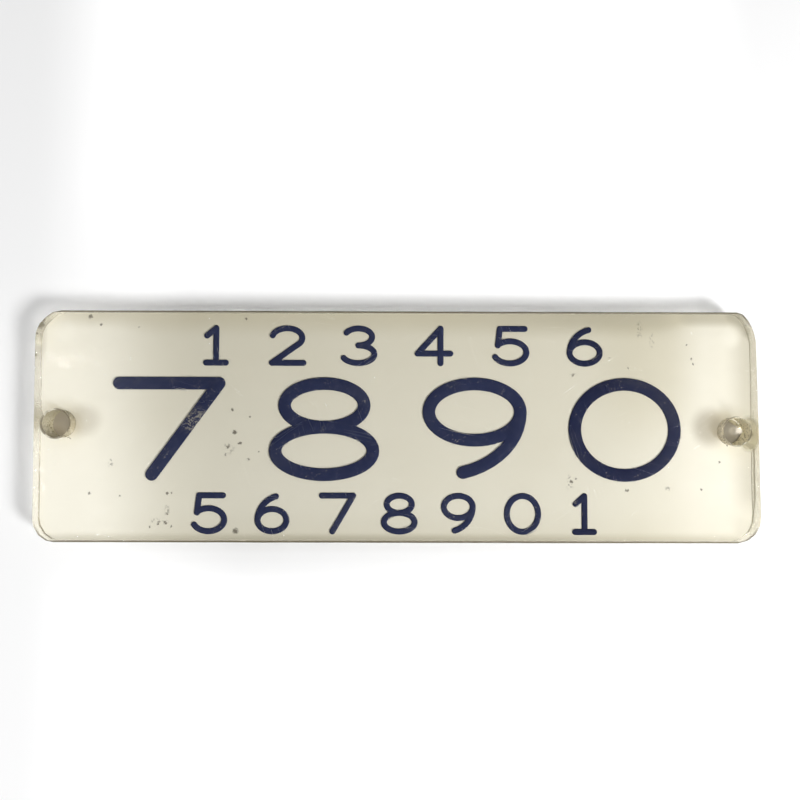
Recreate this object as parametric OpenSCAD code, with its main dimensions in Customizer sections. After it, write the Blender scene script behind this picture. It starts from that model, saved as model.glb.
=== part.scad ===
// Builders plate of a railway car: a clear acrylic sheet, engraved and painted from the back,
// with a screw hole near each end. It lies on its back, face up.
// The origin is the middle of the back, X runs along the plate, Y up the plate as it hangs, Z out of the face.

/* [Clear sheet] */
// Length of the plate
plate_l = 160; // [110:1:260]
// Height of the plate as it hangs on the wall
plate_w = 51; // [36:0.5:90]
// Thickness of the clear sheet
sheet_t = 5; // [3:0.25:10]
// Radius of the four corners in plan
corner_r = 6; // [2:0.25:12]
// Width of the bevel filed along the edges of the face and of the back
arris = 0.3; // [0.1:0.05:0.8]

/* [Screw holes] */
// Diameter of both screw holes
hole_d = 6; // [3:0.1:7.2]
// Distance from each end of the plate to its hole's centre
hole_inset = 5; // [4.6:0.1:15]
// Height of the left hole over the centre line: the holes were marked out by hand
left_rise = 0.4; // [-2:0.1:2]
// Height of the right hole over the centre line
right_rise = -1; // [-2:0.1:2]

/* [Back coat] */
// Thickness of the brushed cream paint that closes the back
coat_t = 0.2; // [0.1:0.05:0.6]
// Width of bare sheet between the paint and the filed bevel
coat_margin = 0.05; // [0:0.05:1]

/* [Hidden] */
$fn = 96;
// How far a cutter runs past the faces that it cuts
run_out = 1;
// Centres of the two screw holes
hole_places = [
    [hole_inset - plate_l / 2, left_rise],
    [plate_l / 2 - hole_inset, right_rise]
];
// How far the paint's outline lies inside the sheet's
coat_inset = arris + coat_margin;

// Half of the sheet's section, from its middle out to the filed edge, for a half width
function half_section(half) = [
    [0, 0],
    [half - arris, 0],
    [half, arris],
    [half, sheet_t - arris],
    [half - arris, sheet_t],
    [0, sheet_t]
];

// The same section on both sides of the middle
function full_section(half) = [
    [arris - half, 0],
    [half - arris, 0],
    [half, arris],
    [half, sheet_t - arris],
    [half - arris, sheet_t],
    [arris - half, sheet_t],
    [-half, sheet_t - arris],
    [-half, arris]
];

// Places its children at the centres of the four corner rounds
module at_corners() {
    for (side_x = [-1, 1], side_y = [-1, 1])
        translate([side_x * (plate_l / 2 - corner_r), side_y * (plate_w / 2 - corner_r), 0])
            children();
}

// The sheet without its holes: turned corners joined by two straight lengths of the same section
module blank() {
    at_corners()
        rotate_extrude()
            polygon(half_section(corner_r));
    // Straight length that carries the section of the long edges
    translate([corner_r - plate_l / 2, 0, 0])
        rotate([90, 0, 90])
            linear_extrude(plate_l - 2 * corner_r)
                polygon(full_section(plate_w / 2));
    // Straight length that carries the section of the two ends
    translate([0, plate_w / 2 - corner_r, 0])
        rotate([90, 0, 0])
            linear_extrude(plate_w - 2 * corner_r)
                polygon(full_section(plate_l / 2));
}

// Cutters for both screw holes, from below the back to above the face
module hole_drills() {
    for (place = hole_places)
        translate([place[0], place[1], -run_out])
            cylinder(h = coat_t + sheet_t + 2 * run_out, d = hole_d);
}

// Outline of the painted area: the sheet's, drawn in by the bevel and the bare margin
module coat_outline() {
    coat_r = corner_r - coat_inset;
    coat_l = plate_l - 2 * coat_inset;
    coat_w = plate_w - 2 * coat_inset;
    at_corners()
        circle(r = coat_r);
    square([coat_l, coat_w - 2 * coat_r], center = true);
    square([coat_l - 2 * coat_r, coat_w], center = true);
}

// Clear cast sheet that the plate is read through
module clear_sheet() {
    color([0.93, 0.94, 0.9, 0.45])
        difference() {
            translate([0, 0, coat_t])
                blank();
            hole_drills();
        }
}

// Cream paint all over the back, drilled through with the sheet
module back_coat() {
    color([0.92, 0.89, 0.8])
        difference() {
            linear_extrude(coat_t)
                coat_outline();
            hole_drills();
        }
}

clear_sheet();
back_coat();
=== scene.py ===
# %% [markdown]
# # A builders plate from a railway car
# The real plate is one sheet of clear cast acrylic, sawn out by hand and filed round its edges.
# Its figures are engraved into the back with a round cutter and run full of navy enamel, and a cream
# paint brushed over the whole back closes them off, so they are read through five millimetres of sheet.
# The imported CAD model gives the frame: the plate lies on its back, face up, and X runs along it.

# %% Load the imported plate
import math
from functools import reduce

import bmesh
import bpy
from mathutils import Euler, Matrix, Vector, noise


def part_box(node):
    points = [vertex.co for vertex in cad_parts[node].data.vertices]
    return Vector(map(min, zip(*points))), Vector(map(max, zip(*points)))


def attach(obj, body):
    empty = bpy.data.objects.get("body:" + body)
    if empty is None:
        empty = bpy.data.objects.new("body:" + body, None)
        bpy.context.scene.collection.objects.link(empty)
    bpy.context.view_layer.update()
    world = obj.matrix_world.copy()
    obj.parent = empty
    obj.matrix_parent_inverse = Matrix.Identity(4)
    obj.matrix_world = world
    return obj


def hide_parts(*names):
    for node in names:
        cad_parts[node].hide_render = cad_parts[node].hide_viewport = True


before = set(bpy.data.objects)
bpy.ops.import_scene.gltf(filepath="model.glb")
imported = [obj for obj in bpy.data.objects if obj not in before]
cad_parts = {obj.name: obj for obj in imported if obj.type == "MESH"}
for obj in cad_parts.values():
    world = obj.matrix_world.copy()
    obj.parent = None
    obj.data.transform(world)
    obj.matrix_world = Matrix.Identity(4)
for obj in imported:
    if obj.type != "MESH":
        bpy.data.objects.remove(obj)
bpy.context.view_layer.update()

MM = 0.001
sheet_low, sheet_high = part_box("clear_sheet")
BACK = sheet_low.z / MM
FACE = sheet_high.z / MM


def put(name, data):
    """Adds an object to the scene."""
    made = bpy.data.objects.new(name, data)
    bpy.context.scene.collection.objects.link(made)
    return made


print("The sheet reaches from", round(BACK, 2), "to", round(FACE, 2), "mm above the floor")

# %% [markdown]
# ## The camera
# The photograph was taken from straight above, close enough that the two ends are seen at a slant.
# A camera can be placed by eye, or worked out from the outline: four straight edges are enough to fit
# distance, tilt and turn. The slant decides how much of the edges and of the bore walls shows.

# %% Place the camera
PICTURE_PIXELS = 800.0
FOCAL_PIXELS = 670.0
SENSOR_WIDTH = 36.0
NEAREST_SEEN = 10.0
CAMERA_PLACE = Vector((0.23, -0.7, 152.6))
CAMERA_TILT = (2.514, -0.186, 0.147)


def place_camera():
    """Puts the camera over the plate, looking down."""
    lens = bpy.data.cameras.new("camera")
    lens.sensor_width = SENSOR_WIDTH
    lens.lens = FOCAL_PIXELS / PICTURE_PIXELS * SENSOR_WIDTH
    lens.clip_start = NEAREST_SEEN * MM
    camera = put("camera", lens)
    camera.location = CAMERA_PLACE * MM
    camera.rotation_euler = Euler([math.radians(turn) for turn in CAMERA_TILT])
    bpy.context.scene.camera = camera
    return camera


camera = place_camera()
print("The camera's lens is", round(camera.data.lens, 2), "mm")

# %% [markdown]
# ## Writing a finish as sums
# A finish is a web of nodes, and most of them do plain arithmetic. A small class that knows plus, minus
# and times lets a mask be written as `grime * (1 - wear)`, and adds the nodes. Masks grow and fall over
# spans in millimetres, and `reduce` joins a list of them, so that the strongest or the nearest counts.

# %% The class that adds nodes
def sign(operation, turned=False):
    """A method that adds one node. It is turned where the wire stands behind the sign."""
    def add_node(wire, other):
        first, second = (other, wire) if turned else (wire, other)
        return wire.work(operation, first, second)
    return add_node


class Wire:
    """One output of a node. Sums and products of wires add the nodes that work them out."""

    def __init__(self, bench, socket):
        self.bench = bench
        self.socket = socket

    def work(self, operation, first, second):
        """One Math node, or one Vector Math node where the wire carries a vector."""
        if self.socket.type == "VECTOR":
            first, second = [v if isinstance(v, (Wire, tuple)) else (v,) * 3 for v in (first, second)]
            return self.bench.node("VectorMath", {0: first, 1: second}, operation=operation)
        return self.bench.node("Math", {0: first, 1: second}, operation=operation)

    __add__, __radd__ = sign("ADD"), sign("ADD", True)
    __sub__, __rsub__ = sign("SUBTRACT"), sign("SUBTRACT", True)
    __mul__, __truediv__, __pow__ = sign("MULTIPLY"), sign("DIVIDE"), sign("POWER")
    least, most = sign("MINIMUM"), sign("MAXIMUM")

    def size(self):
        """The value without its sign."""
        return self.work("ABSOLUTE", self, 0.0)

    def rise(self, low, high, strength=1.0):
        """A mask that grows smoothly from 0 at low to its strength at high."""
        sockets = {"Value": self, "From Min": low, "From Max": high}
        mask = self.bench.node("MapRange", sockets, interpolation_type="SMOOTHSTEP")
        return mask if strength == 1.0 else mask * strength

    def fall(self, low, high, strength=1.0):
        """A mask that drops smoothly from its strength at low to 0 at high."""
        mask = 1 - self.rise(low, high)
        return mask if strength == 1.0 else mask * strength

    def lift(self, least, more):
        """From least where the mask is 0, and more than that where it is 1."""
        return least + self * more

    def blend(self, first, second):
        """Goes from the first colour to the second as the mask grows."""
        return self.bench.node("Mix", {0: self, 6: first, 7: second}, out=2, data_type="RGBA")

    def split(self):
        """The three numbers of a vector."""
        return [self.bench.node("SeparateXYZ", {0: self}, out=axis) for axis in "XYZ"]

    def noise(self, grain, detail, shift=(0.0, 0.0, 0.0), stretch=(1.0, 1.0, 1.0)):
        """Cloudy values round a half, with clouds about one grain wide in millimetres."""
        scale = tuple(1 / (grain * s) for s in stretch)
        return self.bench.node("TexNoise", {"Vector": self * scale + shift, "Scale": 1.0, "Detail": detail})


class Bench:
    """A node tree being filled."""

    def __init__(self, name, shelf=bpy.data.materials):
        self.owner = shelf.new(name)
        self.owner.use_nodes = True
        self.tree = self.owner.node_tree
        self.tree.nodes.clear()

    def node(self, kind, sockets=None, out=0, **settings):
        """Adds a node with its settings, then the values or links of its sockets."""
        made = self.tree.nodes.new("ShaderNode" + kind)
        for key, value in settings.items():
            setattr(made, key, value)
        for key, value in (sockets or {}).items():
            if isinstance(value, Wire):
                self.tree.links.new(value.socket, made.inputs[key])
            elif made.inputs[key].type == "RGBA":
                made.inputs[key].default_value = (*value, 1.0)
            else:
                made.inputs[key].default_value = value
        return Wire(self, made.outputs[out])

    def place(self):
        """Where a point of the plate is, in millimetres."""
        return self.node("TexCoord", out="Object") * (1 / MM)

    def bump(self, height, depth):
        """Turns a height between 0 and 1 into a relief of that depth in millimetres."""
        return self.node("Bump", {"Height": height, "Distance": depth * MM})

    def layer(self, mask, under, over):
        """Lays one shader over another where the mask is 1."""
        return self.node("MixShader", {0: mask, 1: under, 2: over})

    def close(self, shader, kind="OutputMaterial"):
        """Ends the web at the output that Blender reads."""
        self.tree.links.new(shader.socket, self.tree.nodes.new("ShaderNode" + kind).inputs["Surface"])
        return self.owner


print("Finishes can be written as sums")

# %% [markdown]
# ## Floor, daylight and lamps
# The plate lies on a white board under soft light. The strongest lamp stands low at the lower right,
# so the shadow falls to the left and above. A second, small lamp hangs high on the left, and the hand
# and camera in its way keep the middle of the plate in half shade, while both ends stay bright. A black
# card hidden from the camera does the same here, and the board glows a little, in the camera's eyes
# only, so that it stays white. Under the plate, where the holes show it, the board is painted brown as
# painted shade, darker to the right and towards the top.

# %% Lay the white board
BOARD_HALF = 1500.0
BOARD_DROP = 0.02
BOARD_WHITE = (0.9, 0.9, 0.9)
# Painted shade: the board under the plate is brown, darker to the right and towards the top
SHADE_BROWN_LEFT = (0.48, 0.435, 0.365)
SHADE_BROWN_RIGHT = (0.27, 0.25, 0.215)
BROWN_SHADED = (0.05, 0.045, 0.03)
RIGHT_HALF = (-10.0, 10.0)
SHADED_HALF = (-2.5, 2.5, 0.3)
GLOW_NEAR = (55.0, 85.0, 0.3)
GLOW_FAR = (100.0, 240.0, 0.9)
ROUNDED = 6.0
UNDER_PLATE = (-0.8, -0.3)
CLEAR_OF_PLATE = (1.5, 3.6)
DIMMING = 0.8


def eyes(bench):
    """1 for rays from the camera, also by a mirror or through glass, and 0 for light."""
    seen, mirrored, through, scattered = [
        bench.node("LightPath", out=out)
        for out in ("Is Camera Ray", "Is Glossy Ray", "Is Transmission Ray", "Diffuse Depth")]
    return seen.most(mirrored).most(through) * (1 - scattered.least(1.0))


def board_finish():
    """White card that glows a little towards the camera, but not under the plate, where it is painted brown
    as painted shade.
    """
    bench = Bench("white_board")
    x, y, _ = bench.place().split()
    past_x, past_y = [(across.size() - (edge / MM - ROUNDED)).most(0.0)
                      for across, edge in zip((x, y), sheet_high)]
    past_plate = (past_x * past_x + past_y * past_y) ** 0.5 - ROUNDED
    # Painted shade under the plate: brown, darker to the right and towards the top
    painted_shade_brown = x.rise(*RIGHT_HALF).blend(SHADE_BROWN_LEFT, SHADE_BROWN_RIGHT)
    painted_shade_brown = y.rise(*SHADED_HALF).blend(painted_shade_brown, BROWN_SHADED)
    card = past_plate.fall(*UNDER_PLATE).blend(BOARD_WHITE, painted_shade_brown)
    white = bench.node("BsdfDiffuse", {"Color": card})
    strength = x.size().fall(*GLOW_NEAR) + x.size().most(y.size()).rise(*GLOW_FAR)
    glow = bench.node("Emission", {"Strength": strength})
    lit = bench.node("AddShader", {0: white, 1: glow})
    dim = y.fall(-28.0, -20.0) * past_plate.fall(2.0, 16.0) * DIMMING
    return bench.close(bench.layer(eyes(bench) * past_plate.rise(*CLEAR_OF_PLATE) * (1 - dim), white, lit))


def flat_face(name, corners, finish):
    """One face with four corners, which is part of the stage."""
    mesh = bpy.data.meshes.new(name)
    mesh.from_pydata([corner * MM for corner in corners], [], [(0, 1, 2, 3)])
    mesh.materials.append(finish)
    face = put(name, mesh)
    return face


ways = ((-1, -1), (1, -1), (1, 1), (-1, 1))
flat_face("board", [Vector((x * BOARD_HALF, y * BOARD_HALF, -BOARD_DROP)) for x, y in ways], board_finish())
print("The board is", 2 * BOARD_HALF, "mm wide")

# %% Light the board
DAYLIGHT = 0.34
WHITE = (1.0, 1.0, 1.0)
ZENITH = (0.86, 0.97)
ZENITH_GREY = (0.12, 0.12, 0.12)
KEY_AIM = Vector((0.0, 0.0, FACE))
KEY_BEARING = -34.0
KEY_HEIGHT = 35.0
KEY_REACH = 500.0
KEY_SIZE = 120.0
KEY_POWER = 2.7
LEFT_LAMP_PLACE = Vector((-386.0, 0.0, 460.0))
LEFT_LAMP_SIZE = 45.0
LEFT_LAMP_POWER = 0.98
CARD_HEIGHT = 158.0
CARD_SHADE = ((-46.0, -45.0), (50.0, -45.0), (74.0, 45.0), (-66.0, 45.0))
CARD_BLACK = (0.02, 0.02, 0.02)
GLINT_REACH = 75.0
GLINT_HEIGHT = 46.0
GLINT_SOURCE = 0.2
GLINT_SOFT = 0.8
GLINTS = ((78.3, -0.7, 1.9, 0.62), (77.1, -0.7, 2.6, 0.22), (76.2, -0.6, 4.0, 0.05))


def daylight():
    """Even soft light, with a white horizon and a dim ceiling for whatever mirrors it."""
    bench = Bench("daylight", bpy.data.worlds)
    up = bench.node("TexCoord", out="Generated").split()[2]
    ceiling = up.rise(*ZENITH).blend(WHITE, ZENITH_GREY)
    picture = bench.node("Background", {"Color": ceiling, "Strength": 1.0})
    light = bench.node("Background", {"Color": WHITE, "Strength": DAYLIGHT})
    bpy.context.scene.world = bench.owner
    return bench.close(bench.layer(eyes(bench), light, picture), "OutputWorld")


def hang(name, light, place, aim):
    """Hangs a light at a place, looking at a point."""
    holder = put(name, light)
    holder.location = place * MM
    holder.rotation_euler = (aim - place).to_track_quat("-Z", "Y").to_euler()
    return holder


def hang_lamp(name, place, size, power):
    """A square soft lamp that looks at the middle of the face."""
    lamp = bpy.data.lights.new(name, "AREA")
    lamp.size = size * MM
    lamp.energy = power
    hang(name, lamp, place, KEY_AIM)


def hang_glint(x, y, width, power):
    """A narrow beam from the left that falls through the right hole onto the board."""
    beam = bpy.data.lights.new("glint", "SPOT")
    beam.energy = power
    beam.spot_size = 2 * math.atan(width / 2 / GLINT_REACH)
    beam.spot_blend = GLINT_SOFT
    beam.shadow_soft_size = GLINT_SOURCE * MM
    steep = math.radians(GLINT_HEIGHT)
    aim = Vector((x, y, 0.0))
    place = aim + Vector((-math.cos(steep), 0.0, math.sin(steep))) * GLINT_REACH
    holder = hang("glint", beam, place, aim)
    for rays in ("camera", "glossy", "transmission"):
        setattr(holder, "visible_" + rays, False)


def hang_card():
    """A black card that shades the middle of the plate and can't be seen."""
    share = CARD_HEIGHT / LEFT_LAMP_PLACE.z
    corners = [Vector((x, y, 0.0)).lerp(LEFT_LAMP_PLACE, share) for x, y in CARD_SHADE]
    bench = Bench("black_card")
    card = flat_face("shade_card", corners, bench.close(bench.node("BsdfDiffuse", {"Color": CARD_BLACK})))
    card.visible_camera = False
    card.visible_glossy = False


bearing, height = math.radians(KEY_BEARING), math.radians(KEY_HEIGHT)
key_way = Vector((math.cos(bearing) * math.cos(height), math.sin(bearing) * math.cos(height),
                  math.sin(height)))
daylight()
hang_lamp("key_lamp", KEY_AIM + key_way * KEY_REACH, KEY_SIZE, KEY_POWER)
hang_lamp("left_lamp", LEFT_LAMP_PLACE, LEFT_LAMP_SIZE, LEFT_LAMP_POWER)
for glint in GLINTS:
    hang_glint(*glint)
hang_card()
bpy.context.scene.view_settings.view_transform = "Standard"
print("The key lamp stands", round(KEY_REACH * math.sin(height)), "mm above the face")

# %% [markdown]
# ## Clear acrylic
# Acrylic bends light a little less than window glass. Inside the sheet the sawn sides mirror the cream
# coat, which is why the plate seems to have a pale border, and a darker film at the foot of the sides
# draws the dark lines round it. Paint could fake that border, but real glass over real walls keeps it
# right from every side. Lamps can't find their way through bent light, so for them the sheet is plain
# transparent where light gets in. Its sides stay closed to them, because light from the face is mirrored
# there, so the plate keeps its shadow. Bent light also comes down steeper, so a bore's shade lies close
# beside it. Straight rays get the same shade when only the lower part of the bore's wall holds them up.

# %% Mix the clear acrylic
ACRYLIC_BENDING = 1.49
ACRYLIC_TINT = (0.985, 0.985, 0.965)
LAMP_TINT = (0.97, 0.965, 0.94)
BORE_TINT = (0.85, 0.78, 0.62)
POLISHED = 0.03
FILED = 0.22
SCRATCHED = 0.25
SCRATCH_DEPTH = 0.3
BORE_ROUGH = 4.0
RELIEF = 0.03
DIRT_ROUGH = 0.8
LAMP_SHARE = 0.5
DUST = (0.72, 0.68, 0.54)
DUST_LEFT = (0.55, 0.5, 0.36)
DUST_RIGHT = (0.74, 0.68, 0.49)
BORE_DARK = (0.24, 0.21, 0.13)
# Olive patch beside the right bore, partly dirt and partly painted shade
OLIVE_TAN = (0.36, 0.32, 0.19)
# The bore walls seen from inside the sheet, painted darker as painted shade
INNER_SHADE_LEFT = (0.48, 0.42, 0.29)
INNER_SHADE_RIGHT = (0.68, 0.6, 0.44)
GRIME_DARK = (0.13, 0.11, 0.07)
FOOT_TAN = (0.64, 0.61, 0.47)
FOOT_DARK = (0.26, 0.23, 0.16)
GRIME = (0.16, 0.135, 0.085)
HOLES = (Vector((-75.0, 0.4)), Vector((75.0, -1.0)))
HOLE_RADIUS = 3.0

# Spots of dirt: X, Y and reach
FACE_CRACKS = ((-73.1, -2.3, 0.16), (-72.6, -2.5, 0.14), (-72.1, -2.6, 0.18), (-71.6, -2.9, 0.14),
               (-72.9, 1.5, 0.15), (72.6, -4.0, 0.16))
SIDE_DIRT = ((-78.8, 22.3, 0.9), (-78.2, 23.4, 0.4), (-79.5, 20.3, 0.25), (-79.8, 15.5, 0.35))
STAINED_CORNER = (-78.6, 21.5)
# The olive patch beside the right bore: its middle, and how it is squeezed
OLIVE_PATCH_PLACE = (77.5, -1.5)
OLIVE_PATCH_SQUEEZE = (1.5, 1.0)

# Noises: grain in millimetres, detail, shift, stretch. Scratches: turn in degrees, shift
MIDDLE = 0.5
SPECK_SHAKE = {"Scale": 2.2, "Detail": 2.0}
SPECK_RAGGED = 0.9
SCRATCH_WAVES = (2.0, 1.0)
SCRATCH_STRETCH = (14.0, 1.0, 1.0)
SCRATCH_PATCHES = (9.0, 1.0)
SCRATCHES = ((12, (0.0, 3.0, 0.0)), (71, (4.0, 0.0, 0.0)), (148, (9.0, 2.0, 0.0)))
CLOUDS = (3.0, 4.0)
FINE_GRAIN = (0.4, 3.0, (5.0, 1.0, 2.0))
WIPE_MARKS = (7.0, 3.0, (2.0, 6.0, 0.0), (2.5, 1.0, 1.0))

# Where masks start and end, and how strong they get where that isn't 1
SCRATCH_WIDTH = (0.0, 0.006)
SCRATCH_SPAN = (0.52, 0.62)
LONG_SIDE = (24.3, 24.9)
FOOT = (BACK + 0.06, BACK + 0.3)
FOOT_SPARED = 0.5
LEFT_FOOT = (BACK + 0.4, BACK + 1.5)
LEFT_FOOT_SHARE = 0.5
LEFT_LOW_SHARES = (0.9, 0.6)
RIGHT_FOOT = (BACK + 0.3, BACK + 1.1)
HAIRS = ((1.2, (0.15, 0.4)), (2.6, (0.05, 0.3, 0.7)))
PAST_MIDDLE = (0.0, 1.0)
STRONG = 1.5
SEAM_FOOT = BACK + 0.3
SEAM_CLIMB = (-21.0, -15.0, 1.5)
SEAM_WIDTH = (0.15, 0.65)
SEAM_END = (-2.0, 6.0)
SEAM_SHARE = 1.1
DARK_SHARES = (0.8, 0.75, 0.8, 0.9)
LINE_SHARES = (0.5, 0.25)
LINE_GAPS = (0.15, 0.4)
SAWN_LEAST = 0.03
SAWN_HIGH = (3.3, 4.3, 0.9)
ARRIS_LEAST = 0.94
ARRIS_MIDDLE = (20.0, 60.0, 0.26)
SAW_LEAST = 0.8
SAW_CLOUDS = (0.25, 0.6, 0.2)
RIM_MOST = 0.85
RIM_RIGHT = (70.0, 76.5, 0.5)
RIM_GAPS = (0.3, 0.5)
GRAIN = (0.5, 0.64)
GRAIN_LEDGE = 0.6
GRAIN_UPPER = (0.8, 2.6)
# How the olive patch beside the right bore grows, partly dirt and partly painted shade
OLIVE_PATCH_LEAST = 0.56
OLIVE_PATCH_GRAIN = (0.46, 0.6)
OLIVE_PATCH_UPPER = (-2.0, 1.0)
OLIVE_PATCH_LOWER = (-4.0, -1.5, 0.25)
OLIVE_PATCH_MORE = 0.25
CRACK_SHARE = 0.7
SPOT_SHARE = 0.8
STAIN_SHARE = 0.8
DULL_LEAST = 0.22
DULL_UPPER = (12.0, 18.0, 0.08)
DUST_CLOUDS = (0.45, 0.8, 0.16)
RIGHT_DUST = 0.32
BORE_DUST = (0.74, 0.4)
UNDER_DUST = 0.5
HAZE = 0.02
SHADING_DEPTH = (0.8, 3.6)
SHADING_SHARES = (0.8, 0.3)
SHADED_WALL = 0.4


def flat_distance(place, x, y):
    """How far a point lies from an upright axis, in millimetres."""
    flat = place * (1.0, 1.0, 0.0)
    return place.bench.node("VectorMath", {0: flat, 1: (x, y, 0.0)}, out="Value", operation="DISTANCE")


def bore_distance(place):
    """How far the axis of the nearer bore lies, in millimetres."""
    return reduce(Wire.least, [flat_distance(place, hole.x, hole.y) for hole in HOLES])


def nearest_spot(place, spots):
    """How far the nearest spot's middle lies, as a share of that spot's reach."""
    return reduce(Wire.least, [flat_distance(place, x, y) / reach for x, y, reach in spots])


def specks(place, spots, softness):
    """1 inside each named spot. The spots' outlines are ragged."""
    jitter = place.bench.node("TexNoise", {"Vector": place, **SPECK_SHAKE}, out="Color")
    shake = place.bench.node("VectorMath", {0: jitter, 1: (MIDDLE,) * 3}, operation="SUBTRACT")
    nearest = nearest_spot(place + shake * SPECK_RAGGED, spots)
    return nearest.fall(1.0 - softness, 1.0 + softness)


def hairlines(place, turn, shift):
    """Long fine scratches that run one way."""
    angle = math.radians(turn)
    turned = place.bench.node("VectorRotate", {"Vector": place, "Angle": angle}, rotation_type="Z_AXIS")
    waves = turned.noise(*SCRATCH_WAVES, shift, SCRATCH_STRETCH)
    patches = place.noise(*SCRATCH_PATCHES, shift)
    return (waves - MIDDLE).size().fall(*SCRATCH_WIDTH) * patches.rise(*SCRATCH_SPAN)


def clear_acrylic():
    """Polished face, filed sides, grainy bores, dirt in the corners, and painted shade on the bore walls
    and beside the right bore.
    """
    bench = Bench("clear_acrylic")
    place = bench.place()
    x, y, z = place.split()
    facing = bench.node("TexCoord", out="Normal")
    upright = facing.split()[2].size().fall(0.35, 0.8)
    to_right = x.rise(*RIGHT_HALF)
    to_bore = bore_distance(place)
    ledge = to_bore.fall(HOLE_RADIUS - 0.3, HOLE_RADIUS - 0.1)
    bore = to_bore.fall(HOLE_RADIUS + 0.4, HOLE_RADIUS + 0.8) * upright.most(ledge)
    near_bore = to_bore.fall(HOLE_RADIUS + 0.25, HOLE_RADIUS + 0.5)
    side = upright * (1 - bore)
    at_face = z.rise(FACE - 0.1, FACE)
    cloud = place.noise(*CLOUDS)
    fine = place.noise(*FINE_GRAIN)
    scratches = reduce(Wire.most, [hairlines(place, *scratch) for scratch in SCRATCHES])

    # Dark lines at the foot of the sides
    long_side = y.size().rise(*LONG_SIDE)
    right_side = x.rise(78.0, 79.0)
    left_side = x.fall(-78.0, -75.5)
    left_low = left_side * y.fall(-12.0, 0.0)
    corner = x.size().rise(74.0, 76.0) * y.size().rise(20.0, 22.0)
    foot = z.fall(*FOOT) * (1 - long_side * FOOT_SPARED - y.rise(*LONG_SIDE) * FOOT_SPARED)
    left_foot = left_side * LEFT_FOOT_SHARE + left_low * corner.lift(*LEFT_LOW_SHARES)
    foot = foot.most(z.fall(*LEFT_FOOT) * left_foot)
    hairs = reduce(Wire.most, [(z - BACK - height).size().fall(*width) for height, width in HAIRS])
    foot = foot.most(hairs * corner * x.rise(*PAST_MIDDLE) * y.rise(*PAST_MIDDLE) * STRONG)
    foot = foot.most(z.fall(*RIGHT_FOOT) * right_side * STRONG) * (1 - bore)
    seam_height = SEAM_FOOT + y.rise(*SEAM_CLIMB)
    seam = (z - seam_height).size().fall(*SEAM_WIDTH) * right_side * side * y.fall(*SEAM_END)
    sides = zip((long_side, right_side, corner, left_low), DARK_SHARES)
    dark_line = reduce(Wire.most, [mask * share for mask, share in sides])
    line = (foot * long_side.lift(*LINE_SHARES)).most(seam * SEAM_SHARE) * cloud.rise(*LINE_GAPS)

    # Grime from the tools, and listed spots
    sawn = side * y.size().rise(20.5, 24.6) * (SAWN_LEAST + z.rise(*SAWN_HIGH))
    arris = z.rise(FACE - 0.2, FACE - 0.1) * y.size().rise(24.98, 25.15)
    arris_dirt = arris * (ARRIS_LEAST + x.size().fall(*ARRIS_MIDDLE))
    saw_dirt = sawn.most(arris_dirt) * (SAW_LEAST + cloud.rise(*SAW_CLOUDS))
    bore_rim = near_bore * z.rise(FACE - 0.4, FACE - 0.1) * (RIM_MOST - x.rise(*RIM_RIGHT))
    cracks = specks(place, FACE_CRACKS, 0.4) * at_face * CRACK_SHARE
    dirt_spots = specks(place, SIDE_DIRT, 0.5) * z.rise(3.2, 4.2) * SPOT_SHARE
    stained = flat_distance(place, *STAINED_CORNER).fall(1.5, 6.0, 0.6)
    dull_left = side * left_side * y.rise(-8.0, 2.0) * (DULL_LEAST + y.rise(*DULL_UPPER))
    dull_left = dull_left.most(side * stained * STAIN_SHARE)
    grime = reduce(Wire.most, (saw_dirt, bore_rim * cloud.rise(*RIM_GAPS), cracks, dirt_spots, dull_left))

    # Dust, and an olive patch beside the right bore that is partly dirt and partly painted shade
    squeezed = [part * squeeze for part, squeeze in zip(OLIVE_PATCH_PLACE, OLIVE_PATCH_SQUEEZE)]
    olive_patch = flat_distance(place * (*OLIVE_PATCH_SQUEEZE, 0.0), *squeezed).fall(2.8, 4.4)
    olive_patch_upper = y.rise(*OLIVE_PATCH_UPPER)
    olive_patch = olive_patch * (OLIVE_PATCH_LEAST + fine.rise(*OLIVE_PATCH_GRAIN) * olive_patch_upper * OLIVE_PATCH_MORE
                       + y.fall(*OLIVE_PATCH_LOWER)) * at_face.most(side)
    side_dust = side * (cloud.rise(*DUST_CLOUDS) + right_side * RIGHT_DUST + stained)
    dust = side_dust.most(bore * fine.lift(*BORE_DUST)).most(olive_patch)

    # The film over the acrylic: dirt, the dark lines, the olive patch, and painted shade on the bore walls
    leaving = bench.node("NewGeometry", out="Backfacing")
    # Painted shade: the bore walls are darker where they are seen from inside the sheet
    inner = to_right.blend(INNER_SHADE_LEFT, INNER_SHADE_RIGHT)
    bore_dust_and_shade = leaving.blend(to_right.blend(DUST_LEFT, DUST_RIGHT), inner)
    grain = fine.rise(*GRAIN).most(ledge * GRAIN_LEDGE)
    grain = grain.most(y.rise(*GRAIN_UPPER) * (1 - to_right) * GRAIN_LEDGE)
    film_colour = bore.blend(DUST, grain.blend(bore_dust_and_shade, BORE_DARK))
    olive_patch_colour = (grain * olive_patch_upper).blend(OLIVE_TAN, BORE_DARK)
    film_colour = olive_patch.rise(0.0, 0.2).blend(film_colour, olive_patch_colour)
    line_colour = dark_line.blend(FOOT_TAN, FOOT_DARK)
    film_colour = line.rise(0.1, 0.4).blend(film_colour, line_colour)
    dirty = long_side.blend(GRIME, GRIME_DARK)
    over_dust = (grime - dust * UNDER_DUST).rise(0.0, 0.25)
    film_colour = over_dust.blend(film_colour, dirty)
    haze = at_face * (1 - near_bore) * place.noise(*WIPE_MARKS).rise(0.5, 0.75) * HAZE
    film = grime.most(dust).most(line).most(haze).least(1.0)

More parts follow.
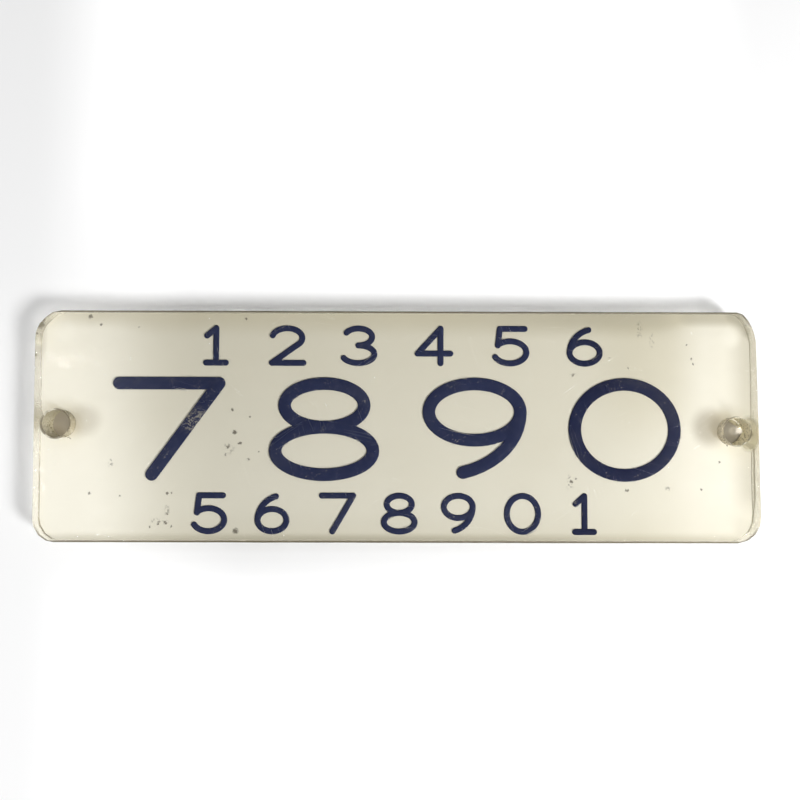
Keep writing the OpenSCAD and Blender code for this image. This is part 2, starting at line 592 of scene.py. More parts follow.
    # Glass for the camera, plain transparent for lamps and for paint
    relief = fine * (upright + bore * BORE_ROUGH) + scratches * (1 - upright) * SCRATCH_DEPTH
    normal = bench.bump(relief, RELIEF)
    glass = bench.node("BsdfPrincipled", {
        "Base Color": ACRYLIC_TINT, "IOR": ACRYLIC_BENDING, "Transmission Weight": 1.0, "Normal": normal,
        "Roughness": POLISHED + upright * (FILED - POLISHED) + scratches * SCRATCHED})
    most, less_right = SHADING_SHARES
    shading = bore * z.fall(*SHADING_DEPTH) * (most - to_right * less_right)
    clear = bench.node("BsdfTransparent", {"Color": shading.blend(LAMP_TINT, BORE_TINT)})
    from_lamp = bench.node("LightPath", out="Is Shadow Ray")
    from_paint = bench.node("LightPath", out="Is Diffuse Ray")
    let_in = 1 - (side + shading * SHADED_WALL) * (1 - leaving)
    walls = (upright - shading).most(arris)
    film = film * (1 - from_lamp * (LAMP_SHARE + walls * (1 - LAMP_SHARE)))
    body = bench.layer(let_in * from_lamp.most(from_paint), glass, clear)
    film_shader = bench.node("BsdfPrincipled", {
        "Base Color": film_colour, "Roughness": DIRT_ROUGH, "Normal": normal})
    return bench.close(bench.layer(film, body, film_shader))


acrylic = clear_acrylic()
print("The acrylic has", len(acrylic.node_tree.nodes), "nodes")

# %% [markdown]
# ## Cream paint
# The cream is an old enamel, brushed on from behind. Through the sheet its surface is as smooth as the
# acrylic that it sticks to, with faint clouds where it is thin. Small chips and specks of dirt are listed
# one by one, because their places are part of how this plate has grown old, while the clouds come from
# noise. Light and shade are painted into the cream as well: painted shade along the edges and across
# the middle, most towards the top, a painted shadow beside each hole, and painted light at the ends and
# in a few highlights.

# %% Mix the cream paint
CREAM = (0.775, 0.745, 0.64)
# Paler cream at the two ends, which is painted light
CREAM_LEFT = (0.93, 0.9, 0.8)
CREAM_RIGHT = (0.86, 0.83, 0.735)
# Darker creams: one for ageing and painted shade, one for the painted shade along the edges
CREAM_AGED_AND_SHADE = (0.62, 0.575, 0.44)
PAINTED_SHADE_CREAM = (0.42, 0.39, 0.3)
SPECK_DARK = (0.07, 0.055, 0.035)
# Colour of the painted shadows beside the bores
BORE_SHADOW_BROWN = (0.4, 0.36, 0.28)
PAINT_SHINE = 0.1
COAT_HALF_X = 80.2
COAT_HALF_Y = 25.4

# Where the painted highlights and the painted shadows beside the bores lie along X and Y, how far they
# reach, and how strong the shadows are, and the middle of a painted corner shade
PAINTED_GLEAMS = ((-74.8, 21.0, 3.4), (75.2, 20.0, 3.2), (-76.0, -22.0, 3.0))
CORNER_TURN = (74.0, 19.4)
BORE_SHADOWS = ((70.2, -0.1, 4.8, 5.2, 0.72), (-70.4, 1.2, 5.0, 4.4, 0.4))
COAT_SPECKS = (
    (-69.2, 24.6, 0.4), (-66.8, 22.8, 0.22), (-58.2, 22.2, 0.18), (-68.6, -15.1, 0.3),
    (-61.7, -15.7, 0.18), (-50.3, -15.0, 0.18), (-38.8, -19.7, 0.22), (65.5, 18.6, 0.2),
    (52.2, 13.3, 0.18), (48.0, 15.6, 0.18), (51.4, -14.2, 0.24), (68.3, -14.0, 0.24), (72.5, -7.9, 0.22),
    (-36.4, -1.4, 0.45), (-35.2, -3.9, 0.3), (-37.0, 3.6, 0.28), (-37.9, -4.8, 0.22),
    (-33.0, 2.0, 0.2), (-30.9, -5.8, 0.22), (66.5, 15.4, 0.28), (66.8, 14.2, 0.22),
    (39.1, -12.3, 0.35), (40.2, -11.6, 0.25), (-51.6, -21.6, 0.35), (-50.2, -22.4, 0.25),
    (-35.9, -23.4, 0.6), (-34.1, 24.2, 0.32), (-51.3, -15.1, 0.3), (-38.4, -6.5, 0.26),
    (-33.2, -7.4, 0.24), (-51.2, -19.6, 0.26), (-53.2, -21.9, 0.22), (-55.0, -22.6, 0.2),
    (51.8, -14.3, 0.26),
)
SMEARS = (
    (54.8, 21.9, 0.9, 2.4), (57.6, 19.6, 0.7, 2.0), (39.8, 11.6, 1.1, 0.7), (38.7, -12.3, 1.4, 2.0),
    (-53.0, -21.2, 2.6, 0.8), (-51.2, -19.0, 0.7, 2.0), (-64.0, -8.3, 0.9, 1.2), (61.0, -13.8, 1.2, 0.6),
    (-37.6, -5.0, 1.6, 1.6),
)

# Noises: grain in millimetres, detail, shift and stretch
CREAM_CLOUDS = (22.0, 3.0)
MOTTLE = (2.5, 4.0, (3.0, 7.0, 0.0))
BRUSHED = (0.5, 3.0, (0.0, 0.0, 4.0), (40.0, 1.0, 1.0))
SMEAR_GRAIN = (0.5, 3.0, (6.0, 2.0, 0.0))

# How the cream ages and where shade and light are painted on it: where masks start and end, and how strong
# they get where that isn't 1
SHADE_EDGE_HALF = 25.0
EDGE_DEPTHS = (2.0, 4.0)
EDGE_ENDS = (52.0, 66.0, 2.2)
EDGE_RIGHT = (60.0, 68.0, 0.8)
EDGE_SHARES = (0.3, 0.34)
EDGE_CLOUDS = (0.6, 0.6)
RING_LEAST = 0.25
RING_UPPER = (-4.0, 2.0, 0.25)
AGED_CLOUDS = (0.45, 0.85, 0.14)
AGED_MOTTLE = (0.5, 0.9, 0.06)
SHADE_ABOVE = 0.29
LESS_RIGHT = (62.0, 70.0, 0.12)
LESS_LEFT = (-66.0, -52.0, 0.14)
BAND_SHARE = 0.35
LOWER_SHARE = 0.3
MID_SHARE = 0.2
GLEAM_SHARES = (0.4, 0.6)
PALE_MOST = 0.7
PALE_UPPER = (-8.0, 4.0, 0.4)

# Painted shade along the edges of the coat, and how strong each of its parts is
LOWER_LEAST = 0.45
SHADE_SHARES = (1.0, 0.62, 0.54, 0.35, 0.62, 1.0, 0.22)
SMEAR_GAPS = (0.49, 0.62)
SPECK_SHARE = 0.8
SMEAR_SHARE = 0.6

# The open back
STREAKS = (0.35, 0.7, 0.4)
STREAK_CLOUDS = (0.4, 0.8, 0.3)
BEHIND_GLASS = 0.35
ROUGHER = 0.35
ROUGH_MOTTLE = 0.1


def oval_distance(place, x, y, reach_x, reach_y):
    """How far the middle of an oval lies, as a share of its reach."""
    return flat_distance(place * (1 / reach_x, 1 / reach_y, 0.0), x / reach_x, y / reach_y)


def smears(place, patches):
    """Soft oval smudges, broken up by a fine grain."""
    nearest = reduce(Wire.least, [oval_distance(place, *patch) for patch in patches])
    return nearest.fall(0.2, 1.1) * place.noise(*SMEAR_GRAIN).rise(*SMEAR_GAPS)


def ageing_and_painted_shade(place, clouds, mottle, off_gleam, painted_light_ends):
    """How dark the cream gets, from 0 to 1: clouds of yellowing and painted shade, less where light is
    painted.
    """
    x, y, _ = place.split()
    above = y.rise(-22.0, 24.0)
    least, more = EDGE_DEPTHS
    # Painted shade along the long edges, deepest towards the top
    depth = least + above * (more - x.size().rise(*EDGE_ENDS) - x.rise(*EDGE_RIGHT))
    edge = (SHADE_EDGE_HALF - y.size()).fall(0.0, depth) * above.lift(*EDGE_SHARES) * clouds.lift(*EDGE_CLOUDS)
    # Darker round the bores, more towards the top
    ring = bore_distance(place).fall(HOLE_RADIUS, HOLE_RADIUS + 4.0) * (RING_LEAST + y.rise(*RING_UPPER))
    aged_and_shaded = edge.most(ring) + clouds.rise(*AGED_CLOUDS) + mottle.rise(*AGED_MOTTLE)
    # Painted shade across the middle: darker towards the top but less at the ends, in a band right of the
    # middle, and along the lower edge
    aged_and_shaded = aged_and_shaded + above * (SHADE_ABOVE - x.rise(*LESS_RIGHT) - x.fall(*LESS_LEFT))
    aged_and_shaded = aged_and_shaded + (x.rise(40.0, 54.0) - x.rise(60.0, 70.0)) * y.rise(-8.0, 8.0) * BAND_SHARE
    aged_and_shaded = aged_and_shaded + x.rise(40.0, 74.0) * y.fall(-24.5, -8.0) * LOWER_SHARE
    aged_and_shaded = aged_and_shaded + (1 - painted_light_ends) * y.fall(-24.5, -17.0) * MID_SHARE
    # Painted light: the left end stays paler, and so do the gleams
    painted_light_left = x.fall(-79.5, -69.0) * (PALE_MOST - y.rise(*PALE_UPPER))
    aged_and_shaded = aged_and_shaded * off_gleam.lift(*GLEAM_SHARES) * (1 - painted_light_left)
    return aged_and_shaded.least(1.0)


def edge_shade(place, off_gleam):
    """How dark the painted shade along the coat's edges is, from 0 to 1."""
    x, y, _ = place.split()
    shades = (  # spans in millimetres from one edge, or along X and Y
        (COAT_HALF_Y + y).fall(0.0, 1.9) * (LOWER_LEAST + x.size().fall(20.0, 60.0, 0.25)),
        (x.rise(0.0, 50.0) - x.rise(58.0, 68.0, 0.85)) * (COAT_HALF_Y - y).fall(0.0, 6.6),
        x.rise(73.2, 79.6) * (1 - y.fall(-20.5, -14.0, 0.75)) * off_gleam,
        (COAT_HALF_X + x).fall(0.4, 1.8) * y.rise(14.0, 18.0),
        x.rise(60.0, 67.0) * y.rise(21.8, 24.4),
        flat_distance(place, *CORNER_TURN).rise(2.6, 5.7) * x.rise(72.0, 75.5) * y.rise(18.0, 21.0),
        x.rise(74.0, 77.0) * y.fall(-22.5, -17.5))
    parts = zip(shades, SHADE_SHARES)
    return reduce(Wire.most, [shade if share == 1.0 else shade * share for shade, share in parts])


def cream_paint():
    """Old cream enamel with clouds, specks and brush marks, and painted shade, shadows and highlights."""
    bench = Bench("cream_paint")
    place = bench.place()
    x, _, z = place.split()
    clouds = place.noise(*CREAM_CLOUDS)
    mottle = place.noise(*MOTTLE)
    # Painted light: paler cream at both ends, and round the painted gleams
    painted_light_ends = x.fall(-70.0, -46.0).most(x.rise(52.0, 70.0))
    off_gleam = nearest_spot(place, PAINTED_GLEAMS).rise(0.2, 1.0)
    ends = x.rise(*RIGHT_HALF).blend(CREAM_LEFT, CREAM_RIGHT)
    aged_and_shaded = ageing_and_painted_shade(place, clouds, mottle, off_gleam, painted_light_ends)
    cream = aged_and_shaded.blend(painted_light_ends.blend(CREAM, ends), CREAM_AGED_AND_SHADE)
    # Painted shade along the edges of the coat
    cream = edge_shade(place, off_gleam).blend(cream, PAINTED_SHADE_CREAM)
    # Painted shadows of the bores on the cream, one beside each hole
    for *oval, strength in BORE_SHADOWS:
        spread = oval_distance(place, *oval).fall(0.35, 1.1)
        cream = (spread * strength).blend(cream, BORE_SHADOW_BROWN)
    dark = specks(place, COAT_SPECKS, 0.5) * SPECK_SHARE
    dark = dark.most(smears(place, SMEARS) * SMEAR_SHARE)
    cream = dark.blend(cream, SPECK_DARK)
    open_back = z.fall(0.1, 0.2)
    brushed = place.noise(*BRUSHED)
    streaks = brushed.rise(*STREAKS) + clouds.rise(*STREAK_CLOUDS)
    cream = open_back.blend(cream, streaks.most(dark).blend(CREAM, CREAM_AGED_AND_SHADE))
    paint = bench.node("BsdfPrincipled", {
        "Base Color": cream, "Specular IOR Level": PAINT_SHINE,
        "Roughness": BEHIND_GLASS + open_back * ROUGHER + mottle * ROUGH_MOTTLE,
        "Normal": bench.bump(brushed * open_back, RELIEF)})
    return bench.close(paint)


cream = cream_paint()
print("The cream has", len(cream.node_tree.nodes), "nodes")

# %% [markdown]
# ## Navy enamel
# The navy fills the grooves. It is painted darker towards the right as painted shade, and small pale
# specks show where it has let go of the acrylic.

# %% Mix the navy enamel
NAVY = (0.015, 0.021, 0.064)
NAVY_THIN = (0.036, 0.042, 0.085)
# Darker navy for the painted shade towards the right
NAVY_PAINTED_SHADE = (0.003, 0.006, 0.034)
FLAKE = (0.3, 0.28, 0.24)
WORN_PLACES = ((-45.6, 1.4, 2.6), (-44.2, -1.2, 1.8))
NAVY_CLOUDS = (1.6, 3.0)
GRIT = (0.35, 3.0, (2.0, 2.0, 0.0))
RARE = (3.5, 2.0, (8.0, 1.0, 0.0))
FLAKE_GRIT = (0.63, 0.72)
FLAKE_PLACES = (0.47, 0.6)
FLAKE_SHARE = 0.8
WORN_GRIT = (0.48, 0.58)
THIN = (0.45, 0.8, 0.5)
NAVY_SHADE_SPAN = (25.0, 50.0, 0.9)
NAVY_ROUGHNESS = (0.45, 0.2)
GRIT_RELIEF = 0.02


def navy_enamel():
    """Deep blue enamel with a worn patch, fine pale specks, and painted shade towards the right."""
    bench = Bench("navy_enamel")
    place = bench.place()
    clouds = place.noise(*NAVY_CLOUDS)
    grit = place.noise(*GRIT)
    flakes = grit.rise(*FLAKE_GRIT) * place.noise(*RARE).rise(*FLAKE_PLACES)
    worn = specks(place, WORN_PLACES, 0.6) * grit.rise(*WORN_GRIT)
    navy = clouds.rise(*THIN).blend(NAVY, NAVY_THIN)
    # Painted shade: the navy is darker towards the right
    navy = place.split()[0].rise(*NAVY_SHADE_SPAN).blend(navy, NAVY_PAINTED_SHADE)
    navy = (flakes.most(worn) * FLAKE_SHARE).blend(navy, FLAKE)
    enamel = bench.node("BsdfPrincipled", {
        "Base Color": navy, "Roughness": clouds.lift(*NAVY_ROUGHNESS), "Specular IOR Level": PAINT_SHINE,
        "Normal": bench.bump(grit, GRIT_RELIEF)})
    return bench.close(enamel)


navy = navy_enamel()
print("The navy has", len(navy.node_tree.nodes), "nodes")

# %% [markdown]
# ## Rings and skins
# Every solid of the plate is a stack of closed rings: an outline drawn in by a little at each height.
# Joining ring to ring makes the walls, and flat triangles close the top and the bottom round the holes.
# Building in rings keeps the filed bevel, the waves of the saw and the chips of the drill as real shape.

# %% Tools for rings
SMOOTH_BELOW = 30.0
CUT_SHARP = 40.0


def wobble(x, y, z):
    """A smooth random value at a point, about between -1 and 1."""
    return noise.noise(Vector((x, y, z)))


def lay_ring(shell, points):
    """Adds a ring of points in millimetres."""
    return [shell.verts.new(Vector(point) * MM) for point in points]


def skin(shell, rings):
    """Joins each ring to the next with four-sided faces."""
    for lower, upper in zip(rings, rings[1:]):
        for i, corner in enumerate(lower):
            j = (i + 1) % len(lower)
            shell.faces.new((corner, lower[j], upper[j], upper[i]))


def close_flat(shell, rings):
    """Fills the flat space inside the first ring and outside the others."""
    edges = []
    for ring in rings:
        for i, corner in enumerate(ring):
            edges.append(shell.edges.get((corner, ring[(i + 1) % len(ring)])))
    bmesh.ops.triangle_fill(shell, use_beauty=True, use_dissolve=False, edges=edges)


def finish_shell(name, shell, finish, sharp=SMOOTH_BELOW):
    """Turns the shell into an object with its finish."""
    bmesh.ops.recalc_face_normals(shell, faces=shell.faces[:])
    for face in shell.faces:
        face.smooth = True
    mesh = bpy.data.meshes.new(name)
    shell.to_mesh(mesh)
    shell.free()
    mesh.set_sharp_from_angle(angle=math.radians(sharp))
    mesh.materials.append(finish)
    return put(name, mesh)


def solid_of(name, shell, stacks, finish, sharp=SMOOTH_BELOW):
    """Skins stacks of rings, the outer one first, and closes both ends."""
    for stack in stacks:
        skin(shell, stack)
    for level in (0, -1):
        close_flat(shell, [stack[level] for stack in stacks])
    return finish_shell(name, shell, finish, sharp)


print("Rings can be laid, skinned and closed")

# %% [markdown]
# ## The outline that a hand made
# The saw went a little out of square: the ends lean by half a millimetre, and each corner was rounded
# by eye with a few strokes of a file, so no two are alike. Each corner is a list of facet ends, given as
# how far they lie in from the end and from the long side, from the end round to the long side.

# %% Draw the outline
HALF_LENGTH = 79.8
HALF_HEIGHT = 25.49
LEAN = -0.0098
CORNERS = (
    (1, 1, ((0.0, 6.6), (0.3, 4.9), (0.85, 3.3), (1.65, 1.8), (2.5, 0.72), (3.1, 0.3), (4.1, 0.0))),
    (-1, 1, ((0.0, 6.2), (0.2, 4.6), (0.97, 2.95), (2.25, 1.6), (3.7, 0.42), (5.7, 0.0))),
    (-1, -1, ((0.0, 4.9), (0.27, 3.35), (1.4, 1.5), (3.0, 0.35), (4.6, 0.0))),
    (1, -1, ((0.0, 6.0), (0.32, 3.85), (1.4, 1.95), (3.15, 0.62), (5.3, 0.0))),
)
SIDE_STEP = 2.5
SAW_WAVE = 0.05
SAW_PACE = 0.12
EDGE_PACE = 0.35
UNDERCUT = 0.45
UNDERCUT_SPAN = (12.0, -12.0)


def filed_corner(side_x, side_y, facets):
    """The points of one corner, anticlockwise."""
    placed = [Vector((side_x * (HALF_LENGTH - in_x), side_y * (HALF_HEIGHT - in_y)))
              for in_x, in_y in facets]
    return placed if side_x == side_y else placed[::-1]


def outline():
    """Points round the plate, anticlockwise from the right, with the way out at each."""
    points = []
    corners = [filed_corner(*corner) for corner in CORNERS]
    for corner, following in zip(corners, corners[1:] + corners[:1]):
        start, end = corner[-1], following[0]
        count = round((end - start).length / SIDE_STEP)
        points += corner + [start.lerp(end, i / count) for i in range(1, count)]
    placed = []
    for i, point in enumerate(points):
        along = (points[(i + 1) % len(points)] - points[i - 1]).normalized()
        out = Vector((along.y, -along.x))
        wave = SAW_WAVE * (wobble(point.x * SAW_PACE, point.y * SAW_PACE, 0.0) - 1) / 2
        point = point + out * wave
        placed.append((Vector((point.x + LEAN * point.y, point.y)), out))
    return placed


plate_outline = outline()
print("The outline has", len(plate_outline), "points")


def edge_ring(inset, z, wander=0.0, seed=0.0):
    """The outline drawn in at one height. The saw leant in at the lower right."""
    ring = []
    high, low = UNDERCUT_SPAN
    for point, out in plate_outline:
        give = inset + wander * wobble(point.x * EDGE_PACE, point.y * EDGE_PACE, seed)
        lower = min(1.0, max(0.0, (high - point.y) / (high - low)))
        give += UNDERCUT * lower * max(0.0, out.x) ** 2 * (FACE - z) / (FACE - BACK)
        ring.append((point.x - out.x * give, point.y - out.y * give, z))
    return ring


# %% [markdown]
# ## The sheet with its two bores
# The bores were drilled by hand. A drill leaves a grainy, ringed wall in acrylic and small chips where
# it breaks through, so each bore is a stack of rings as well, with its radius shaken by noise.

# %% Make the clear sheet
EDGE_STEPS = (
    (0.02, BACK, 0.0), (0.0, BACK + 0.08, 0.0), (0.02, 1.6, 0.02), (0.03, 2.8, 0.02), (0.02, 4.0, 0.02),
    (0.0, FACE - 0.26, 0.0), (0.05, FACE - 0.09, 0.03), (0.12, FACE, 0.03),
)
EDGE_SEED = 3.0
BORE_SIDES = 120
BORE_LEVELS = 26
BORE_GRAIN = 0.1
GRAIN_SIZES = ((4, 1.5, 1.0), (9, 3, 0.8))
BREAK_REACH = 0.22
BREAK_LINES = ((2.25, 57.0), (3.14, -32.0))
BREAK_TIP = 0.95
TIP_SHARPNESS = 8
STEEPEST = 0.1
RIM_FLARE = 0.1
CHIP = 0.35
CHIP_NARROW = 3
CHIP_PACE = 3
CHIP_WAYS = (Vector((-0.8, 0.6)), Vector((0.9, -0.4)))


def foot_radius(angle, broken):
    """Radius where a bore leaves the back. A broken one ends in two straight cracks, in a V."""
    if not broken:
        return HOLE_RADIUS
    radius = HOLE_RADIUS + BREAK_TIP * max(0.0, math.cos(angle)) ** TIP_SHARPNESS
    for distance, turn in BREAK_LINES:
        radius = min(radius, distance / max(STEEPEST, math.cos(angle - math.radians(turn))))
    return radius


def round_ways():
    """The angles round a bore, with the way out at each."""
    angles = [2 * math.pi * side / BORE_SIDES for side in range(BORE_SIDES)]
    return [(angle, Vector((math.cos(angle), math.sin(angle)))) for angle in angles]


def bore_rings(shell, centre, chip_way):
    """Rings up a bore. Its rim on the face is worn, and chipped on one side."""
    rings = []
    for level in range(BORE_LEVELS + 1):
        share = level / BORE_LEVELS
        z = BACK + (FACE - BACK) * share
        rim = max(0.0, 1 - min(share, 1 - share) * BORE_LEVELS)
        fallen = max(0.0, 1 - share / BREAK_REACH) ** 0.5
        upper = share > 0.5
        ring = []
        for angle, way in round_ways():
            grain = 0.0
            for pace, drop, part in GRAIN_SIZES:
                grain += part * wobble(way.x * pace + centre.x, way.y * pace, z * drop)
            inner = HOLE_RADIUS + (foot_radius(angle, centre.x > 0) - HOLE_RADIUS) * fallen
            chipped = max(0.0, way.dot(chip_way)) ** CHIP_NARROW * upper
            bite = rim * CHIP * chipped * (0.5 + wobble(angle * CHIP_PACE, centre.x, 0.0))
            radius = inner + BORE_GRAIN * grain * (1 - rim) + rim * RIM_FLARE * upper + bite
            ring.append((centre.x + way.x * radius, centre.y + way.y * radius, z))
        rings.append(lay_ring(shell, ring))
    return rings


def make_sheet():
    """The filed, drilled sheet as one closed solid."""
    shell = bmesh.new()
    rings = [lay_ring(shell, edge_ring(inset, z, wander, EDGE_SEED)) for inset, z, wander in EDGE_STEPS]
    bores = [bore_rings(shell, hole, chip_way) for hole, chip_way in zip(HOLES, CHIP_WAYS)]
    return solid_of("filed_sheet", shell, [rings] + bores, acrylic)


sheet = make_sheet()
print("The sheet has", len(sheet.data.polygons), "faces")

# %% [markdown]
# ## The brushed coat
# Seen from behind, the coat is a field of long brush marks. The back is half of what there is to see,
# so they are more than a bump: a fine grid carries the ridges, and the outline is cut from it like a
# biscuit.

# %% Brush the coat
COAT_TOP = BACK + 0.05
COAT_INSET = 0.035
COAT_WANDER = 0.01
COAT_SEED = 8.0
BRUSH_DEPTH = 0.09
BRUSH_MIDDLE = 0.5
BRUSH_SWAY = (1.5, 0.02, 0.05, 1.0)
BRUSH_MARKS = ((0.45, 0.012, 0.55, 2.0), (0.35, 0.02, 2.1, 5.0))
GRID_X = 2.0
GRID_Y = 0.4
GRID_HALF = Vector((81.0, 26.2))
HOLE_MARGIN = 0.08
MARGIN_PACE = 2.5
MARGIN_SEED = 3.0
CUTTER_SPAN = (-1.0, 1.0)


def brush_height(x, y):
    """Depth of the brush marks at a point, from 0 to 1."""
    reach, pace_x, pace_y, seed = BRUSH_SWAY
    swayed = y + reach * wobble(x * pace_x, y * pace_y, seed)
    height = BRUSH_MIDDLE
    for share, pace_x, pace_y, seed in BRUSH_MARKS:
        height += share * wobble(x * pace_x, swayed * pace_y, seed)
    return min(1.0, max(0.0, height))


def brushed_blank():
    """A closed slab whose underside carries the brush marks."""
    shell = bmesh.new()
    columns = round(2 * GRID_HALF.x / GRID_X)
    rows = round(2 * GRID_HALF.y / GRID_Y)
    low, high = [], []
    for i in range(columns + 1):
        x = -GRID_HALF.x + i * GRID_X
        ys = [-GRID_HALF.y + j * GRID_Y for j in range(rows + 1)]
        low.append(lay_ring(shell, [(x, y, BRUSH_DEPTH * brush_height(x, y)) for y in ys]))
        high.append(lay_ring(shell, [(x, y, COAT_TOP) for y in ys]))
    for i in range(columns):
        for j in range(rows):
            shell.faces.new((low[i][j], low[i][j + 1], low[i + 1][j + 1], low[i + 1][j]))
            shell.faces.new((high[i][j], high[i + 1][j], high[i + 1][j + 1], high[i][j + 1]))
    for j in range(rows):
        for i in (0, columns):
            shell.faces.new((low[i][j], low[i][j + 1], high[i][j + 1], high[i][j]))
    for i in range(columns):
        for j in (0, rows):
            shell.faces.new((low[i][j], low[i + 1][j], high[i + 1][j], high[i][j]))
    return finish_shell("brushed_blank", shell, cream)


def coat_cutter():
    """A tall prism of the painted outline with its two holes."""
    shell = bmesh.new()
    loops = [[(x, y) for x, y, _ in edge_ring(COAT_INSET, BACK, COAT_WANDER, COAT_SEED)]]
    for centre in HOLES:
        circle = []
        for angle, _ in round_ways():
            radius = foot_radius(angle, centre.x > 0) + HOLE_MARGIN
            radius += HOLE_MARGIN * max(0.0, wobble(angle * MARGIN_PACE, centre.x, MARGIN_SEED))
            circle.append((centre.x + radius * math.cos(angle), centre.y + radius * math.sin(angle)))
        loops.append(circle)
    stacks = [[lay_ring(shell, [(x, y, z) for x, y in loop]) for z in CUTTER_SPAN] for loop in loops]
    return solid_of("coat_cutter", shell, stacks, cream)


def combine(name, base, others, operation):
    """Joins or cuts solids into one, and clears away what they were made from."""
    for other in others:
        step = base.modifiers.new(operation.lower(), "BOOLEAN")
        step.operation = operation
        step.solver = "EXACT"
        step.object = other
    mesh = bpy.data.meshes.new_from_object(base.evaluated_get(bpy.context.evaluated_depsgraph_get()))
    mesh.name = name
    mesh.set_sharp_from_angle(angle=math.radians(CUT_SHARP))
    made = put(name, mesh)
    for used in [base] + others:
        bpy.data.objects.remove(used)
    return made


coat = combine("brushed_back_coat", brushed_blank(), [coat_cutter()], "INTERSECT")
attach(coat, "root")
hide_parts("back_coat")
print("The coat has", len(coat.data.polygons), "faces")

# %% [markdown]
# ## Engraved figures
# An engraver's figure is a path that a round cutter follows, so every stroke has one width and round
# ends. Text objects have outlines instead of paths and would lose that. Here each figure is a few lines
# and bows in a box one unit high, and a stroke is the solid that the cutter took out, with half a turn
# at each end. Each is cut a little deeper than the last, so round ends still show where strokes cross.

# %% Paths of the figures
BOW_STEP = 7.5


def bow(centre_x, centre_y, reach_x, reach_y, start, end):
    """Points on an arc, in degrees from the right, anticlockwise."""
    count = max(2, round(abs(end - start) / BOW_STEP))
    turns = [math.radians(start + (end - start) * i / count) for i in range(count + 1)]
    return [(centre_x + reach_x * math.cos(t), centre_y + reach_y * math.sin(t)) for t in turns]


def ring_path(centre_x, centre_y, reach_x, reach_y):
    """A closed oval, marked as closed by None at its end."""
    return bow(centre_x, centre_y, reach_x, reach_y, 0, 360)[:-1] + [None]


FIGURES = {
    "0": (ring_path(0.5, 0.5, 0.5, 0.5),),
    "1": ([(0.5, 1.0), (0.5, 0.0)], [(0.22, 0.78), (0.5, 1.0)], [(0.2, 0.0), (0.8, 0.0)]),
    "2": (bow(0.5, 0.72, 0.46, 0.28, 165, -32) + [(0.04, 0.0)], [(0.04, 0.0), (1.0, 0.0)]),
    "3": (bow(0.47, 0.755, 0.42, 0.245, 150, -90), bow(0.47, 0.255, 0.49, 0.255, 90, -155)),
    "4": ([(0.7, 1.0), (0.0, 0.28)], [(0.0, 0.28), (1.0, 0.28)], [(0.7, 1.0), (0.7, 0.0)]),
    "5": ([(0.9, 1.0), (0.14, 1.0)], [(0.14, 1.0), (0.08, 0.52)], bow(0.45, 0.32, 0.5, 0.32, 138, -155)),
    "6": (ring_path(0.5, 0.31, 0.46, 0.31), bow(0.84, 0.31, 0.8, 0.69, 106, 180)),
    "7": ([(0.0, 1.0), (1.0, 1.0)], [(1.0, 1.0), (0.34, 0.0)]),
    "8": (ring_path(0.5, 0.76, 0.4, 0.24), ring_path(0.5, 0.26, 0.49, 0.26)),
    "9": (ring_path(0.5, 0.69, 0.46, 0.31), bow(0.16, 0.69, 0.8, 0.69, -74, 0)),
}
print("Paths are drawn for", len(FIGURES), "figures")

# %% Sweep the cutter along a path
CAP_STEPS = 12
NOSE = 0.17
NOSE_STEPS = 3
LINE_STEP = 1.5


def along_path(path, width, height, centre):
    """The path at its real size: points in millimetres, and whether it closes on itself."""
    closed = path[-1] is None
    points = [Vector(((x - 0.5) * width + centre.x, (y - 0.5) * height + centre.y))
              for x, y in (path[:-1] if closed else path)]
    full = []
    for start, end in zip(points, points[1:] + points[:closed]):
        count = max(1, round((end - start).length / LINE_STEP))
        full += [start.lerp(end, i / count) for i in range(count)]
    return full + ([] if closed else [points[-1]]), closed


def sides_of(points, closed, reach):
    """The points to the left and to the right of a path, and the way along it at each."""
    left, right, ways = [], [], []
    for i, point in enumerate(points):
        before = points[i - 1] if closed or i > 0 else point
        after = points[(i + 1) % len(points)] if closed or i + 1 < len(points) else point
        way = (after - before).normalized()
        out = Vector((-way.y, way.x))
        left.append(point + out * reach)
        right.append(point - out * reach)
        ways.append(way)
    return left, right, ways


def half_turn(centre, way, reach):
    """Points of a round end, from the left of its way to the right."""
    out = Vector((-way.y, way.x))
    turns = [math.pi * i / CAP_STEPS for i in range(1, CAP_STEPS)]
    return [centre + (out * math.cos(t) + way * math.sin(t)) * reach for t in turns]


def stroke_rings(points, closed, reach):
    """One ring round an open stroke, or an outer and an inner ring for a closed one."""
    left, right, ways = sides_of(points, closed, reach)
    if closed:
        return [left, right]
    end = half_turn(points[-1], ways[-1], reach)
    return [left + end + right[::-1] + half_turn(points[0], -ways[0], reach)]


def cut_stroke(name, path, half, deepest, foot):
    """The solid that the cutter took out along one path."""
    points, closed = path
    shell = bmesh.new()
    turns = [math.pi / 2 * i / NOSE_STEPS for i in range(NOSE_STEPS + 1)]
    nose = [(half - NOSE * (1 - math.cos(t)), deepest - NOSE * (1 - math.sin(t))) for t in turns]
    sections = [(half, foot)] + nose
    levels = []
    for reach, z in sections:
        rings = stroke_rings(points, closed, reach)
        levels.append([lay_ring(shell, [(p.x, p.y, z) for p in ring]) for ring in rings])
    return solid_of(name, shell, list(zip(*levels)), navy, CUT_SHARP)


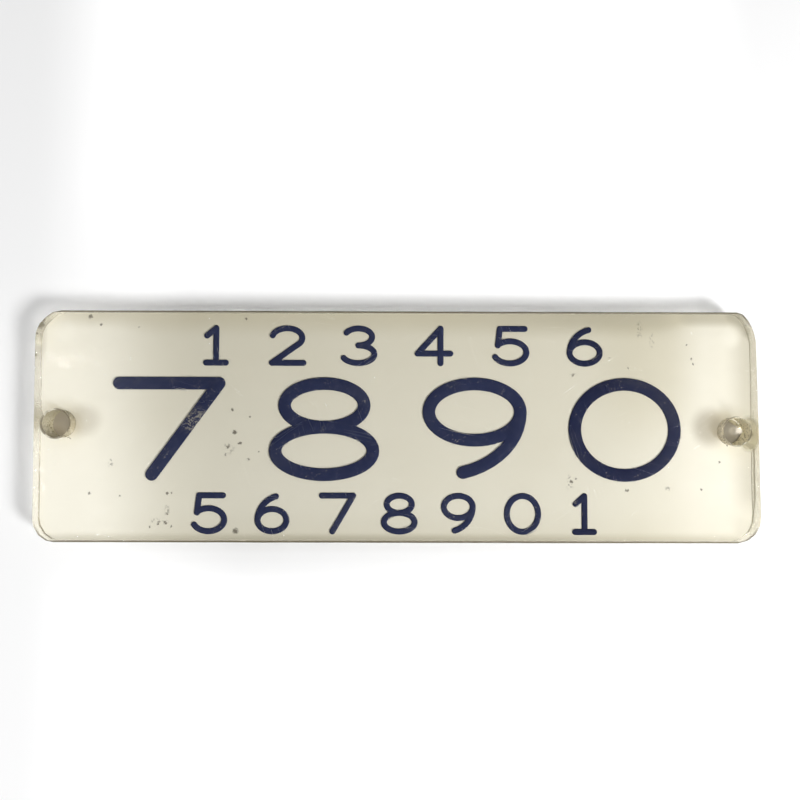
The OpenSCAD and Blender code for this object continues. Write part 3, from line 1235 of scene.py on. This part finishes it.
# %% Engrave the rows
STROKE_SMALL = 1.36
STROKE_LARGE = 2.86
DEEP_SMALL = 0.24
DEEP_LARGE = 0.3
DEEPER = 0.02
BEDDED = 0.01
FILL_FOOT = BACK - 0.08
FILL_STEP = 0.01
CUTTER_FOOT = BACK - 0.5
ROWS = (
    ("top", "123456", (-40.8, -24.8, -8.5, 8.35, 25.9, 42.4), 18.15, 7.4, 7.84, STROKE_SMALL, DEEP_SMALL),
    ("middle", "7890", (-51.2, -16.3, 17.5, 51.2), -0.65, 22.4, 20.45, STROKE_LARGE, DEEP_LARGE),
    ("bottom", "5678901", (-41.6, -27.8, -13.2, 0.6, 13.8, 28.15, 42.0), -19.5, 7.0, 7.95, STROKE_SMALL,
     DEEP_SMALL),
)


def engrave(row, number, figure, centre, width, height, stroke, deep):
    """One figure: its enamel as one solid, and the cutters of its groove."""
    fills, cutters = [], []
    for i, path in enumerate(FIGURES[figure]):
        placed = along_path(path, width, height, centre)
        half, deepest = stroke / 2, BACK + deep + i * DEEPER
        fills.append(cut_stroke("stroke", placed, half, deepest, FILL_FOOT + i * FILL_STEP))
        cutters.append(cut_stroke("cutter", placed, half - BEDDED, deepest - BEDDED, CUTTER_FOOT))
    enamel = combine("figure_%s_%d" % (row, number), fills[0], fills[1:], "UNION")
    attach(enamel, "root")
    return enamel, cutters


groove_cutters = []
for row, figures, places, level, width, height, stroke, deep in ROWS:
    faces = 0
    for number, (figure, across) in enumerate(zip(figures, places), 1):
        made, cutters = engrave(row, number, figure, Vector((across, level)), width, height, stroke, deep)
        faces += len(made.data.polygons)
        groove_cutters += cutters
    print("The", row, "row has", len(figures), "figures and", faces, "faces")

# %% [markdown]
# ## Grooves in the sheet
# The enamel has to lie in grooves of the sheet, or the two would share the same space. Each groove is
# cut a hundredth of a millimetre tighter than its enamel, so the paint wets the acrylic, and the
# renderer never meets two surfaces at one place.

# %% Cut the grooves
sheet = combine("engraved_sheet", sheet, groove_cutters, "DIFFERENCE")
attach(sheet, "root")
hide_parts("clear_sheet")
print("The engraved sheet has", len(sheet.data.polygons), "faces")
